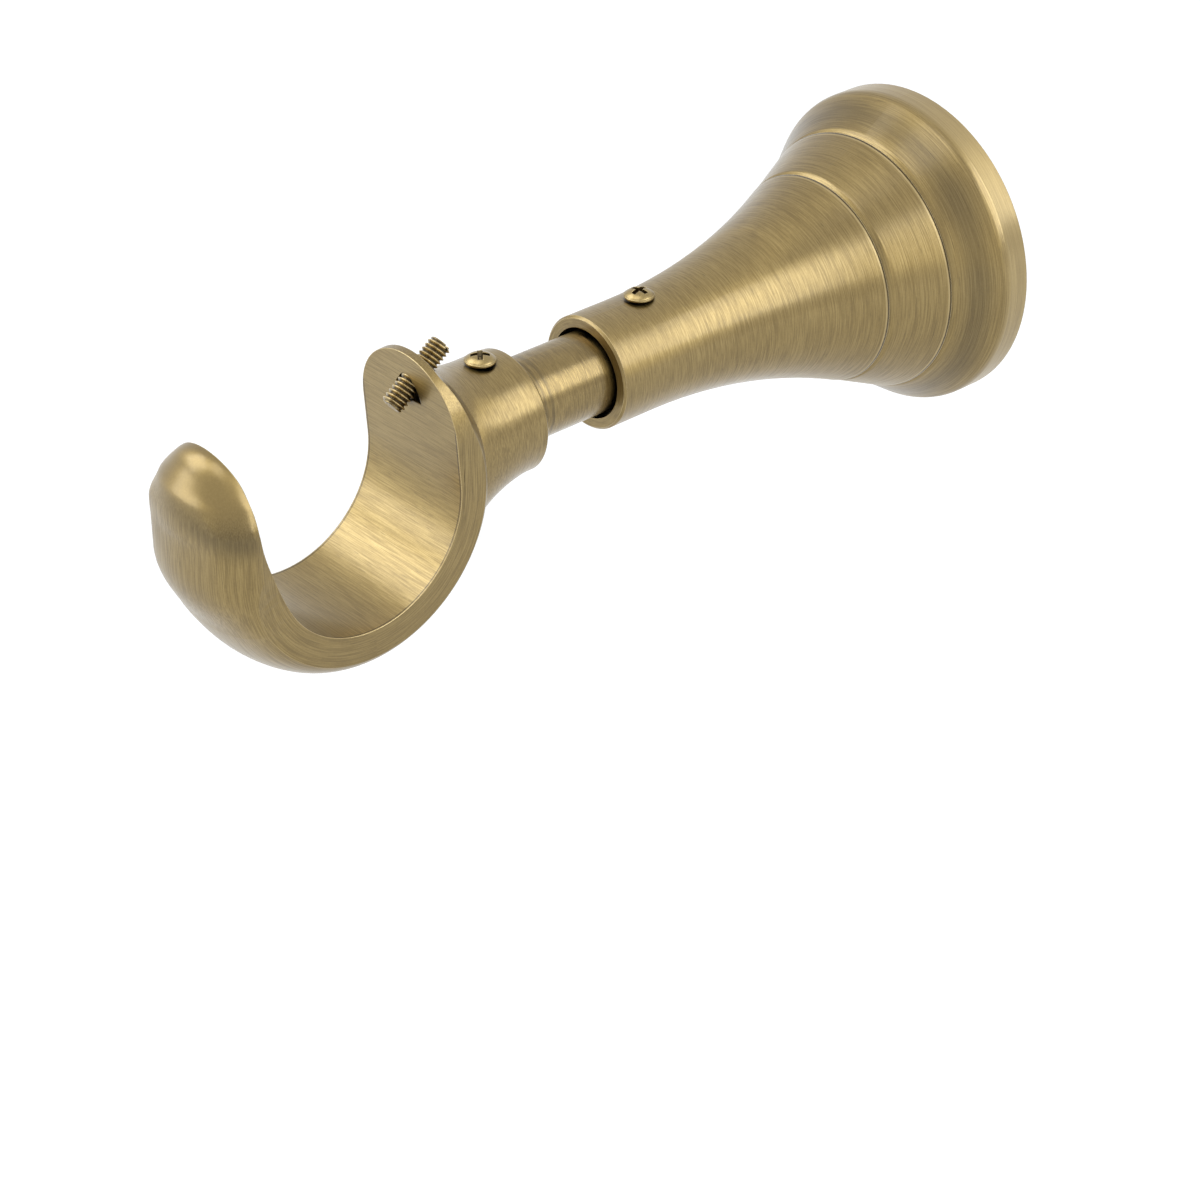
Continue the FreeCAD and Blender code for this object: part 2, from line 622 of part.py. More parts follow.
def make_hook():
    whole = make_neck()
    root = make_cradle("cradle_root", value("ring_top"), value("ring_root"))
    cradle = make_cradle("cradle", value("ring_root"), value("nose_turn - 180"))
    for part in (root, cradle, make_nose(), make_nose_tip(), make_tab()):
        whole = joined("Part::Fuse", "blank_with_" + part.Label, whole, part)
    trimmed = joined("Part::Common", "hook_trimmed", whole, make_side_trim())
    socket = add("Part::Cylinder", "rod_socket", Radius="guide_radius",
                 Height="socket_end - collar_reach + 1")
    socket.Placement = Placement(Vector(0, 0, 0), Rotation(Vector(1, 0, 0), -90))
    bind(socket, Placement__Base__y="collar_reach - 1")
    screw_hole = add("Part::Cylinder", "hook_screw_hole", Radius="screw_radius + thread_fit",
                     Height="collar_radius * 2", Placement__Base__y="hook_screw_reach")
    mouth, direction = lock_line()
    lock_hole = add("Part::Cylinder", "lock_hole", Radius="lock_radius + thread_fit",
                    Height="lock_length * 2")
    turn = Rotation(Vector(0, 0, 1), direction)
    lock_hole.Placement = Placement(mouth - direction * value("lock_length"), turn)
    sink = add("Part::Cone", "lock_countersink", Radius1="lock_mouth + 1", Radius2="lock_radius",
               Height="lock_mouth + 1 - lock_radius")
    sink.Placement = Placement(mouth - direction, turn)
    hook = joined("Part::Cut", "hook_opened", trimmed, make_pole_space())
    hook = joined("Part::Cut", "hook_socketed", hook, socket)
    hook = joined("Part::Cut", "hook_drilled", hook, screw_hole)
    hook = joined("Part::Cut", "hook_tapped", hook, lock_hole)
    hook = joined("Part::Cut", "hook", hook, sink)
    doc.recompute()
    return place(hook)


def make_lock_screw():
    body = doc.addObject("PartDesign::Body", "pole_lock_screw")
    corners = [
        ("0", "0"),
        ("lock_radius - lock_bevel", "0"),
        ("lock_radius", "lock_bevel"),
        ("lock_radius", "lock_length - lock_bevel"),
        ("lock_radius - lock_bevel", "lock_length"),
        ("0", "lock_length"),
    ]
    turned(body, "lock_turning", corners, axis="V_Axis")
    slot = sketch_on(body, "XY_Plane", "lock_slot_outline")
    slot.setExpression("AttachmentOffset.Base.z", formula("lock_length"))
    half, end = "lock_slot / 2", "lock_radius + 1"
    outline(slot, [(end, "-" + half), (end, half), ("-(%s)" % end, half), ("-(%s)" % end, "-" + half)])
    pocket = body.newObject("PartDesign::Pocket", "lock_slot_cut")
    pocket.Profile = slot
    pocket.Type = "Length"
    bind(pocket, Length="lock_slot")
    doc.recompute()
    mouth, direction = lock_line()
    tip = mouth - direction * value("lock_ahead")
    body.Placement = HALF_TURN.multiply(Placement(tip, Rotation(Vector(0, 0, 1), direction)))
    return body


BELL_SEAT = "nose_radius"
COLLAR_SEAT = "(collar_radius - collar_drop)"
pieces = [
    make_bell(),
    make_wall_plate(),
    make_base_grub_screw(),
    make_rod(),
    make_clamp_screw("rod_clamp_screw", BELL_SEAT, "bell_screw_reach"),
    make_hook(),
    make_clamp_screw("hook_clamp_screw", COLLAR_SEAT, "hook_screw_reach"),
    make_lock_screw(),
]
doc.recompute()

for thing in doc.Objects:
    if "Invalid" in thing.State or "Error" in thing.State:
        raise RuntimeError("%s did not build: %s" % (thing.Name, thing.State))
os.makedirs("parts", exist_ok=True)
for piece in pieces:
    if piece.Shape.isNull() or not piece.Shape.isValid():
        raise RuntimeError("%s has no valid shape" % piece.Label)
for piece in pieces:
    piece.Shape.exportStep("parts/%s.step" % piece.Label)
    box = piece.Shape.BoundBox
    print("%-18s solids %d volume %9.1f  x %6.1f %6.1f  y %7.1f %7.1f  z %6.1f %6.1f" % (
        piece.Label, len(piece.Shape.Solids), piece.Shape.Volume,
        box.XMin, box.XMax, box.YMin, box.YMax, box.ZMin, box.ZMax))
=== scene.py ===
import math
import bpy
import bmesh
from mathutils import Matrix, Vector


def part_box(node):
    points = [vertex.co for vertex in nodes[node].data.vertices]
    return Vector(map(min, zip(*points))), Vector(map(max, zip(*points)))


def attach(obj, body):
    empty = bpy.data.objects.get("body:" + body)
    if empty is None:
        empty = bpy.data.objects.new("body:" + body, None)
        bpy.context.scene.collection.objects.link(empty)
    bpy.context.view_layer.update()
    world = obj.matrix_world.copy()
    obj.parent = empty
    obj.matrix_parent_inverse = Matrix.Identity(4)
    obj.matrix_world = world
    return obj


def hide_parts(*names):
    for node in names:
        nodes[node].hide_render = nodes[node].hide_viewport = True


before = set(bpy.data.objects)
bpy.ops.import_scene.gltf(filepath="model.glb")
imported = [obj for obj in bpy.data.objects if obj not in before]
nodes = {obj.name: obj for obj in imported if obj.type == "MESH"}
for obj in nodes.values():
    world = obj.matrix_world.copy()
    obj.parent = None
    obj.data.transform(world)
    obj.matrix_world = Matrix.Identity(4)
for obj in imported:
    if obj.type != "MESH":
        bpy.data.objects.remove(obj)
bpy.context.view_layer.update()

scene = bpy.context.scene


def toward(azimuth, elevation):
    """A direction from the bracket. Azimuth 0 is in front of the wall and a quarter turn on its right."""
    level = math.cos(elevation)
    return Vector((math.sin(azimuth) * level, -math.cos(azimuth) * level, math.sin(elevation)))


# Camera, at the photograph's angle
AZIMUTH = math.radians(46.71)
ELEVATION = math.radians(27.76)
ROLL = math.radians(0.91)
TARGET = Vector((0.0, -0.060, 0.0))
DISTANCE = 0.5682

back = toward(AZIMUTH, ELEVATION)
right = Vector((math.cos(AZIMUTH), math.sin(AZIMUTH), 0.0))
up = back.cross(right)
across = right * math.cos(ROLL) + up * math.sin(ROLL)
upward = up * math.cos(ROLL) - right * math.sin(ROLL)
lens = bpy.data.cameras.new("camera")
lens.sensor_width = 36.0
lens.lens = 96.37
lens.shift_x = -0.0618
lens.shift_y = -0.2203
lens.clip_start = 0.01
camera = bpy.data.objects.new("camera", lens)
camera.matrix_world = Matrix((
    (across.x, upward.x, back.x, 0),
    (across.y, upward.y, back.y, 0),
    (across.z, upward.z, back.z, 0),
    (0, 0, 0, 1)))
camera.location = TARGET + back * DISTANCE
scene.collection.objects.link(camera)
scene.camera = camera


# A small language for shader nodes
class Graph:
    """Adds nodes to a material's tree and links them as they are made."""

    def __init__(self, tree):
        self.tree = tree

    def add(self, kind, *inputs, **settings):
        node = self.tree.nodes.new("ShaderNode" + kind)
        for name, setting in settings.items():
            setattr(node, name, setting)
        for number, what in enumerate(inputs):
            self.put(node.inputs[number], what)
        return node

    def put(self, socket, what):
        if isinstance(what, bpy.types.NodeSocket):
            self.tree.links.new(what, socket)
        elif what is not None:
            socket.default_value = what

    def math(self, operation, *inputs, clamp=False):
        return self.add("Math", *inputs, operation=operation, use_clamp=clamp).outputs[0]

    def vector(self, operation, *inputs):
        node = self.add("VectorMath", *inputs, operation=operation)
        return node.outputs["Value"] if operation in ("DOT_PRODUCT", "LENGTH") else node.outputs["Vector"]

    def mix(self, share, first, second):
        node = self.add("Mix", data_type="RGBA")
        self.put(node.inputs["Factor"], share)
        self.put(node.inputs[6], first)
        self.put(node.inputs[7], second)
        return node.outputs[2]

    def blend(self, share, first, second):
        node = self.add("Mix", data_type="FLOAT")
        self.put(node.inputs["Factor"], share)
        self.put(node.inputs[2], first)
        self.put(node.inputs[3], second)
        return node.outputs[0]

    def step(self, what, low, high):
        """0 below low and 1 above high, softly. low may be the larger."""
        node = self.add("MapRange", interpolation_type="SMOOTHSTEP")
        node.inputs["From Min"].default_value = low
        node.inputs["From Max"].default_value = high
        self.put(node.inputs["Value"], what)
        return node.outputs["Result"]

    def within(self, what, low, high, soft):
        """1 between two limits with soft ends."""
        rise = self.step(what, low - soft, low + soft)
        return self.math("MULTIPLY", rise, self.step(what, high + soft, high - soft))

    def noise(self, where, scale, detail=3.0, roughness=0.6):
        node = self.add("TexNoise")
        self.put(node.inputs["Vector"], where)
        node.inputs["Scale"].default_value = scale
        node.inputs["Detail"].default_value = detail
        node.inputs["Roughness"].default_value = roughness
        return node.outputs["Fac"]

    def bump(self, height, strength, distance, normal=None):
        node = self.add("Bump")
        node.inputs["Strength"].default_value = strength
        node.inputs["Distance"].default_value = distance
        self.put(node.inputs["Height"], height)
        self.put(node.inputs["Normal"], normal)
        return node.outputs[0]

    def place(self):
        return self.add("TexCoord").outputs["Object"]


def linear(red, green, blue):
    """A colour as the eye sees it, 0 to 255, as the renderer wants it."""
    def one(value):
        share = value / 255
        return share / 12.92 if share <= 0.04045 else ((share + 0.055) / 1.055) ** 2.4
    return (one(red), one(green), one(blue), 1.0)


def new_material(name):
    material = bpy.data.materials.new(name)
    material.use_nodes = True
    material.node_tree.nodes.clear()
    return material, Graph(material.node_tree)


# Antique brass under lacquer
MID = linear(134, 113, 64)
LIGHT = linear(161, 140, 88)
DARK = linear(99, 80, 38)
# Patina's colour: dark scratches, and also painted shade in hollow places and on dark zones
PATINA_AND_SHADE = linear(36, 26, 10)
# Bare metal's colour: edge wear, and also painted highlights on edges, the bell's lip, its grooves and thread
# crests
WORN_AND_HIGHLIGHT = linear(214, 192, 142)

# How much each pattern moves the tone, and how strongly patina in the scratches, painted shade in hollow
# places, and edge wear with a painted highlight cover it
STREAK_SHARE = 0.46
MOTTLE_SHARE = 0.3
MOTTLE_SCALE = 60.0
GRAIN_SHARE = 0.25
GRAIN_SCALE = 2600.0
SCRATCH_SHARE = 0.35
# Painted shade in hollow places
HOLLOW_SHADE_SHARE = 0.85
# Edge wear with a painted highlight
RIM_WEAR_AND_HIGHLIGHT_SHARE = 0.75

# Brush marks: width, length and share of each layer, and the size of the deeper scratches
HAIRLINES = ((0.00013, 0.0045, 0.52), (0.00026, 0.009, 0.36), (0.0010, 0.030, 0.12))
SCRATCH_WIDTH = 0.00019
SCRATCH_LENGTH = 0.0026
BRUSH_HEIGHT = 0.00002

# Radius at which an angle round an axis is turned into a length along the brush marks
BRUSH_RADIUS = 0.018


def round_coordinates(graph, place, axis):
    """Place along an axis, distance from it and angle round it, as three numbers."""
    parts = graph.add("SeparateXYZ", place).outputs
    along, one, two = (parts[1], parts[0], parts[2]) if axis == "Y" else (parts[0], parts[1], parts[2])
    squares = graph.math("ADD", graph.math("MULTIPLY", one, one), graph.math("MULTIPLY", two, two))
    return along, graph.math("SQRT", squares), graph.math("ARCTAN2", one, two)


def stretched_noise(graph, across, depth, lengthwise, width, length):
    """Noise drawn out into lines of that width and length."""
    where = graph.add(
        "CombineXYZ", graph.math("MULTIPLY", across, 1 / width), graph.math("MULTIPLY", depth, 1 / width),
        graph.math("MULTIPLY", lengthwise, 1 / length))
    return graph.noise(where.outputs[0], 1.0, 1.0, 0.5)


def hairlines(graph, across, depth, lengthwise):
    """Brush marks as one number about 0.5, and the few deeper scratches as one from 0 to 1.

    across, depth and lengthwise are in metres.
    """
    total = 0.0
    for width, length, share in HAIRLINES:
        layer = stretched_noise(graph, across, depth, lengthwise, width, length)
        total = graph.math("MULTIPLY_ADD", layer, share, total)
    deep = stretched_noise(graph, across, depth, lengthwise, SCRATCH_WIDTH, SCRATCH_LENGTH)
    return graph.step(total, 0.30, 0.70), graph.step(deep, 0.66, 0.78)


def speckle(graph, place):
    """The marks of a piece that was plated and not brushed."""
    return graph.noise(place, 5200.0, 3.0, 0.6), graph.step(graph.noise(place, 1500.0, 2.0, 0.6), 0.62, 0.75)


def brass_colour(graph, marks, place, rounded, tone, depth, hollows, shade, painted_highlight):
    """Mottled and scratched brass, with painted shade in hollow places, and edges lightened as wear with a
    painted highlight.
    """
    streaks, scratches = marks
    patterns = (
        (streaks, STREAK_SHARE * depth),
        (graph.noise(place, MOTTLE_SCALE, 3.0, 0.55), MOTTLE_SHARE),
        (graph.noise(place, GRAIN_SCALE, 2.0, 0.6), GRAIN_SHARE))
    level = tone
    for pattern, share in patterns:
        level = graph.math("MULTIPLY_ADD", graph.math("SUBTRACT", pattern, 0.5), share, level)
    ramp = graph.add("ValToRGB", level)
    ramp.color_ramp.elements[0].color = DARK
    ramp.color_ramp.elements[1].color = LIGHT
    ramp.color_ramp.elements.new(0.5).color = MID
    scratched = graph.math("MULTIPLY", scratches, SCRATCH_SHARE * depth)
    colour = graph.mix(scratched, ramp.outputs["Color"], PATINA_AND_SHADE)
    # Painted shade on dark zones
    if shade is not None:
        colour = graph.mix(shade, colour, PATINA_AND_SHADE)
    # Painted shade: darker in hollow places by ambient occlusion
    hollow = graph.add("AmbientOcclusion", samples=8)
    hollow.inputs["Distance"].default_value = hollows
    openness = hollow.outputs["AO"]
    shaded = graph.math("MULTIPLY", graph.step(openness, 0.8, 0.25), HOLLOW_SHADE_SHARE)
    colour = graph.mix(shaded, colour, PATINA_AND_SHADE)
    # Edges lightened by the bevel's rounding: edge wear with a painted highlight
    plain = graph.add("NewGeometry").outputs["Normal"]
    rim_wear_and_highlight = graph.step(graph.vector("DOT_PRODUCT", rounded, plain), 0.99, 0.90)
    rim_wear_and_highlight = graph.math("MULTIPLY", rim_wear_and_highlight, graph.step(openness, 0.55, 0.8))
    colour = graph.mix(graph.math("MULTIPLY", rim_wear_and_highlight, RIM_WEAR_AND_HIGHLIGHT_SHARE), colour, WORN_AND_HIGHLIGHT)
    # Painted highlight in bare metal's colour
    return colour if painted_highlight is None else graph.mix(painted_highlight, colour, WORN_AND_HIGHLIGHT)


def finish_brass(
        graph, marks, place, tone=0.5, rough=0.33, edge=0.00022, depth=1.0, hollows=0.0018, shade=None,
        painted_highlight=None, relief=None, tangent=None):
    """Brass with its brush marks, under a coat of lacquer.

    tone moves the whole from dark to light, edge is the radius of the rounded edges that get wear and a
    painted highlight, depth the strength of the marks and hollows the width of the painted shade in hollow
    places. shade is a share of extra painted shade, painted_highlight one of painted highlight, relief a
    height in tenths of a millimetre, and tangent the way across the marks.
    """
    bevel = graph.add("Bevel", samples=8)
    bevel.inputs["Radius"].default_value = edge
    rounded = bevel.outputs[0]
    colour = brass_colour(graph, marks, place, rounded, tone, depth, hollows, shade, painted_highlight)
    if relief is not None:
        rounded = graph.bump(relief, 1.0, 0.0001, rounded)
    streaks = marks[0]
    normal = graph.bump(streaks, 0.3 * depth, BRUSH_HEIGHT, rounded)
    shader = graph.add("BsdfPrincipled")
    shader.inputs["Metallic"].default_value = 1.0
    shader.inputs["Anisotropic"].default_value = 0.7
    shader.inputs["Coat Weight"].default_value = 0.5
    shader.inputs["Coat Roughness"].default_value = 0.24
    shader.inputs["Coat IOR"].default_value = 1.7
    graph.put(shader.inputs["Base Color"], colour)
    graph.put(shader.inputs["Roughness"], graph.blend(streaks, rough + 0.05, rough - 0.04))
    graph.put(shader.inputs["Normal"], normal)
    graph.put(shader.inputs["Coat Normal"], normal)
    graph.put(shader.inputs["Tangent"], tangent)
    graph.add("OutputMaterial", shader.outputs[0])


# Places on the arm, as distances from the wall
LIP = 0.0056
NEAR_GROOVE = 0.0144
FAR_GROOVE = 0.0256
BELL_END = 0.081
COLLAR_END = 0.0985
NECK_START = 0.1105
NECK_END = 0.1145
CRADLE_START = 0.1170

# A groove: length of its slope, ends of its foot and of the painted highlight line beyond, relief and the
# share of that painted highlight
GROOVE_SLOPE = 0.0013
GROOVE_FOOT = 0.00035
GROOVE_LINE = 0.0006
GROOVE_RELIEF = -3.2
GROOVE_HIGHLIGHT = 0.35


def reach_of(graph, place):
    """Distance from the wall in metres."""
    return graph.math("MULTIPLY", graph.add("SeparateXYZ", place).outputs[1], -1.0)


def turned_brass(name, shade_zones, tone=0.5, rough=0.36, grooves=(), highlight_zone=None):
    """Brass brushed round the arm's axis.

    A zone is a stretch of the arm with painted shade, and highlight_zone one with a painted highlight: both
    are two reaches, the softness of their ends and a share. Each groove also gets a painted highlight on a
    line beyond its foot.
    """
    material, graph = new_material(name)
    place = graph.place()
    along, radius, angle = round_coordinates(graph, place, "Y")
    marks = hairlines(graph, along, radius, graph.math("MULTIPLY", angle, BRUSH_RADIUS))
    reach = reach_of(graph, place)

    def stretch(low, high, soft, share):
        return graph.math("MULTIPLY", graph.within(reach, low, high, soft), share)

    # Painted shade on the arm's dark zones
    shade = 0.0
    for zone in shade_zones:
        shade = graph.math("MAXIMUM", shade, stretch(*zone))
    painted_highlight = stretch(*highlight_zone) if highlight_zone else None
    relief = None
    for groove in grooves:
        slope = graph.step(reach, groove - GROOVE_SLOPE, groove)
        slope = graph.math("MULTIPLY", slope, graph.step(reach, groove + GROOVE_FOOT, groove))
        slope = graph.math("MULTIPLY", slope, GROOVE_RELIEF)
        relief = slope if relief is None else graph.math("ADD", relief, slope)
        # Painted highlight on a line beyond the groove's foot
        line = stretch(groove + GROOVE_FOOT, groove + GROOVE_LINE, 0.0001, GROOVE_HIGHLIGHT)
        painted_highlight = line if painted_highlight is None else graph.math("MAXIMUM", painted_highlight, line)
    finish_brass(graph, marks, place, tone, rough, shade=shade, painted_highlight=painted_highlight, relief=relief)
    return material


# The hook: the cradle's axis and, from there, where the dome lies, and where the dark bands of painted
# reflection and painted shade lie
CRADLE = (0.0, -0.1374, -0.00387)
HOOK_HALF = 0.0124
DOME_LOW = 0.0085
DOME_HIGH = 0.0135
# A painted dark reflection in a band under the nose's dome
REFLECTION_BAND_LOW = 0.0092
REFLECTION_BAND_HIGH = 0.0126
REFLECTION_BAND_SOFT = 0.0032
REFLECTION_BAND_SLOPE = 0.28
REFLECTION_BAND_SHARE = 0.62
# A painted shade line along the cradle's inner edges
EDGE_SHADE_FROM = 0.00024
EDGE_SHADE_TO = 0.00044
EDGE_SHADE_SHARE = 0.8
# Painted shade on the underside
UNDERSIDE_SHADE_SHARE = 0.12


def cast_marks(graph, place, parts, inside, collar):
    """Brush marks round the arm on the collar, along the pole inside the cradle, and lengthwise outside."""
    along, radius, angle = round_coordinates(graph, place, "Y")
    round_arm = hairlines(graph, along, radius, graph.math("MULTIPLY", angle, BRUSH_RADIUS))
    above = graph.math("MAXIMUM", parts[2], 0.0)
    below = graph.math("MINIMUM", parts[2], -0.00001)
    bent = graph.add("CombineXYZ", parts[0], parts[1], below).outputs[0]
    along, radius, angle = round_coordinates(graph, bent, "X")
    climb = graph.math("MULTIPLY", graph.math("SIGN", parts[1]), above)
    arc = graph.math("SUBTRACT", graph.math("MULTIPLY", angle, BRUSH_RADIUS), climb)
    round_pole = hairlines(graph, along, radius, arc)
    along_pole = hairlines(graph, arc, radius, along)
    dome = graph.step(parts[2], DOME_LOW, DOME_HIGH)
    dome = graph.math("MULTIPLY", dome, graph.step(parts[1], -0.012, -0.016))
    dome = graph.math("MULTIPLY", dome, 0.9)
    marks = []
    for number, satin in enumerate((0.5, 0.0)):
        outside = graph.blend(collar, round_pole[number], round_arm[number])
        brushed = graph.blend(inside, outside, along_pole[number])
        marks.append(graph.blend(dome, brushed, satin))
    return marks


def cast_shade(graph, parts, inside):
    """Painted shade and reflection: a dark line along the cradle's inner edges, a painted dark reflection as
    a band under the dome, and a darker underside.
    """
    # Painted shade line along the cradle's inner edges
    from_side = graph.math("SUBTRACT", HOOK_HALF, graph.math("ABSOLUTE", parts[0]))
    edge_shade = graph.math("MULTIPLY", graph.within(from_side, EDGE_SHADE_FROM, EDGE_SHADE_TO, 0.00008), inside)
    # Painted dark reflection in a band under the dome
    sloped = graph.math("MULTIPLY_ADD", parts[0], REFLECTION_BAND_SLOPE, parts[2])
    band = graph.within(sloped, REFLECTION_BAND_LOW, REFLECTION_BAND_HIGH, REFLECTION_BAND_SOFT)
    band = graph.math("MULTIPLY", band, graph.blend(graph.step(parts[0], -0.006, 0.011), 0.2, 1.0))
    band = graph.math("MULTIPLY", band, graph.step(parts[1], -0.020, -0.024))
    band = graph.math("MULTIPLY", band, graph.blend(inside, REFLECTION_BAND_SHARE, 0.0))
    # Painted shade, darker towards the underside
    under = graph.math("MULTIPLY", graph.step(parts[2], -0.012, -0.026), UNDERSIDE_SHADE_SHARE)
    return graph.math("MAXIMUM", graph.math("MULTIPLY", edge_shade, EDGE_SHADE_SHARE), graph.math("MAXIMUM", band, under))


def cast_brass(name):
    """The hook's brass: its collar brushed round the arm, its inside along the pole, the rest lengthwise."""
    material, graph = new_material(name)
    coordinates = graph.add("TexCoord")
    place = coordinates.outputs["Object"]
    normal = coordinates.outputs["Normal"]
    from_cradle = graph.vector("SUBTRACT", place, CRADLE)
    parts = graph.add("SeparateXYZ", from_cradle).outputs
    outward = graph.vector("NORMALIZE", graph.vector("MULTIPLY", from_cradle, (0, 1, 1)))
    reach = reach_of(graph, place)
    inside = graph.step(graph.vector("DOT_PRODUCT", normal, outward), -0.3, -0.7)
    inside = graph.math("MULTIPLY", inside, graph.step(reach, CRADLE_START, CRADLE_START + 0.001))
    collar = graph.step(reach, NECK_END, NECK_START)
    marks = cast_marks(graph, place, parts, inside, collar)
    # Painted shade and painted reflection on the hook
    shade = cast_shade(graph, parts, inside)
    tangent = graph.mix(inside, (1, 0, 0, 1), graph.vector("CROSS_PRODUCT", normal, (1, 0, 0)))
    tangent = graph.mix(collar, tangent, (0, 1, 0, 1))
    finish_brass(graph, marks, place, shade=shade, tangent=tangent)
    return material


def plated(name, tone, rough):
    """Small plated pieces: a fine grain, painted shade in hollow places, and edge wear with a painted
    highlight.
    """
    material, graph = new_material(name)
    place = graph.place()
    finish_brass(graph, speckle(graph, place), place, tone, rough, edge=0.00012, depth=0.5, hollows=0.0013)
    return material


def threaded_brass(name, middle, direction, radius, depth, half_length):
    """Brass with painted shade in the thread roots and a painted highlight on the crests, by distance from
    the screw's axis.
    """
    material, graph = new_material(name)
    place = graph.place()
    offset = graph.vector("SUBTRACT", place, middle)
    reach = graph.vector("LENGTH", graph.vector("CROSS_PRODUCT", offset, direction))
    # Painted highlight on the thread crests
    crest = graph.math("MULTIPLY", graph.step(reach, radius - 0.35 * depth, radius - 0.08 * depth), 0.8)
    along = graph.math("ABSOLUTE", graph.vector("DOT_PRODUCT", offset, direction))
    # Painted shade in the thread roots
    root_shade = graph.math("MULTIPLY", graph.step(reach, radius - 0.55 * depth, radius - 0.95 * depth), 0.75)
    root_shade = graph.math("MULTIPLY", root_shade, graph.step(along, half_length - 0.00005, half_length - 0.0003))
    finish_brass(
        graph, speckle(graph, place), place, 0.75, 0.27, edge=0.00006, depth=0.5, hollows=0.0006,
        shade=root_shade, painted_highlight=crest)
    return material


def zinc(name, grey, blue):
    """Zinc-plated steel: a fine spangle."""
    material, graph = new_material(name)
    spangle = graph.noise(graph.place(), 420.0, 4.0, 0.6)
    dull = linear(0.75 * grey, 0.75 * grey, 0.75 * blue)
    shader = graph.add("BsdfPrincipled")
    shader.inputs["Metallic"].default_value = 1.0
    graph.put(shader.inputs["Base Color"], graph.mix(spangle, dull, linear(grey, grey, blue)))
    graph.put(shader.inputs["Roughness"], graph.blend(spangle, 0.5, 0.34))
    graph.put(shader.inputs["Normal"], graph.bump(spangle, 0.15, 0.00004))
    graph.add("OutputMaterial", shader.outputs[0])
    return material


# Clamp screws: thread and neck of the shank
SHANK_RADIUS = 0.0015
SHANK_TIP = 0.00115
SHANK_THREAD = 0.00026
SHANK_PITCH = 0.0005
NECK_RADIUS = 0.00124
NECK_LENGTH = 0.0003

# Clamp screws: heights of the head above its seat, and how far its edge lies in from its widest place
HEAD_HEIGHT = 0.00148
HEAD_EDGE = (
    (0.00012, 0), (0, 0.00010), (0, 0.00036), (0.00008, 0.00046), (0.00022, 0.00050), (0.00024, 0.00056))
DOME_EDGE = 0.00027
DOME_FOOT = 0.00058
DOME_TOP = 0.00146
DOME_POWER = 2.6
DOME_SHARES = (0.98, 0.93, 0.86, 0.78, 0.70)

# Clamp screws: half length and half width of the cross, and how its recess narrows as it goes down
CROSS_ARM = 0.00165
CROSS_WING = 0.00046
RECESS_WALL = ((1.0, 0.00003), (0.97, 0.00014), (0.88, 0.00050), (0.74, 0.00085))
RECESS_FLOOR = 0.00030
RECESS_TIP = 0.00012

# Lock screw
LOCK_SLOPE = math.radians(37)
LOCK_AXIS = Vector((0, math.cos(LOCK_SLOPE), math.sin(LOCK_SLOPE)))
LOCK_LENGTH = 0.0134
LOCK_RADIUS = 0.00208
LOCK_THREAD = 0.00044
LOCK_PITCH = 0.0008
LOCK_BEVEL = 0.00046
LOCK_TIP = ((0.0009, 0.00007), (0.00112, 0.00005), (0.0012, 0))
LOCK_SLOT = (0.008, 0.0008, 0.0016)

# Rings that draw one turn of a thread
THREAD_STEPS = 12


def box_middle(name):
    low, high = (Vector(corner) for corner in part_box(name))
    return (low + high) / 2, low, high


def cross_reach(angle):
    """Distance from the middle of a cross to its outline."""
    angle = abs((angle + math.pi / 4) % (math.pi / 2) - math.pi / 4)
    if math.tan(angle) * CROSS_ARM <= CROSS_WING:
        return CROSS_ARM / math.cos(angle)
    return CROSS_WING / math.sin(angle)


def cross_angles():
    """Angles round a screw, with one on each corner of its cross."""
    corner = math.atan(CROSS_WING / CROSS_ARM)
    eighth = [0, corner * 0.6, corner] + [corner + (math.pi / 4 - corner) * step / 5 for step in range(1, 6)]
    quarter = eighth + [math.pi / 2 - angle for angle in reversed(eighth[1:-1])]
    return [angle + turn * math.pi / 2 for turn in range(4) for angle in quarter]


def thread(angles, radius, depth, pitch, start, end, tip):
    """Rings of a thread from start to end, under a bevel of 45 degrees from the radius tip at start."""
    rings = []
    count = int((end - start) / pitch * THREAD_STEPS) + 1
    for row in range(count + 1):
        place = (end - start) * row / count
        ring = []
        for angle in angles:
            crest = abs(2 * ((place / pitch - angle / math.tau) % 1) - 1)
            reach = radius - depth * min(max(1.25 * (1 - crest) - 0.12, 0), 1)
            ring.append((min(reach, tip + place), start + place))
        rings.append(ring)
    return rings


def lathe(name, angles, rings):
    """A closed mesh through rings of (distance from the axis, height) pairs, one pair for each angle."""
    work = bmesh.new()
    rows = []
    for ring in rings:
        rows.append([
            work.verts.new((reach * math.cos(angle), reach * math.sin(angle), height))
            for angle, (reach, height) in zip(angles, ring)])
    count = len(angles)
    for lower, upper in zip(rows, rows[1:]):
        for number in range(count):
            after = (number + 1) % count
            work.faces.new((lower[number], lower[after], upper[after], upper[number]))
    for row, flip in ((rows[0], True), (rows[-1], False)):
        middle = work.verts.new((0, 0, sum(point.co.z for point in row) / count))
        for number in range(count):
            side = row[number], row[(number + 1) % count]
            work.faces.new((*(reversed(side) if flip else side), middle))
    bmesh.ops.remove_doubles(work, verts=work.verts, dist=1e-7)
    bmesh.ops.dissolve_degenerate(work, dist=1e-7, edges=work.edges)
    mesh = bpy.data.meshes.new(name)
    work.to_mesh(mesh)
    work.free()
    mesh.polygons.foreach_set("use_smooth", [True] * len(mesh.polygons))
    mesh.set_sharp_from_angle(angle=math.radians(38))
    return add_piece(name, mesh)


def add_piece(name, mesh):
    piece = bpy.data.objects.new(name, mesh)
    scene.collection.objects.link(piece)
    return piece


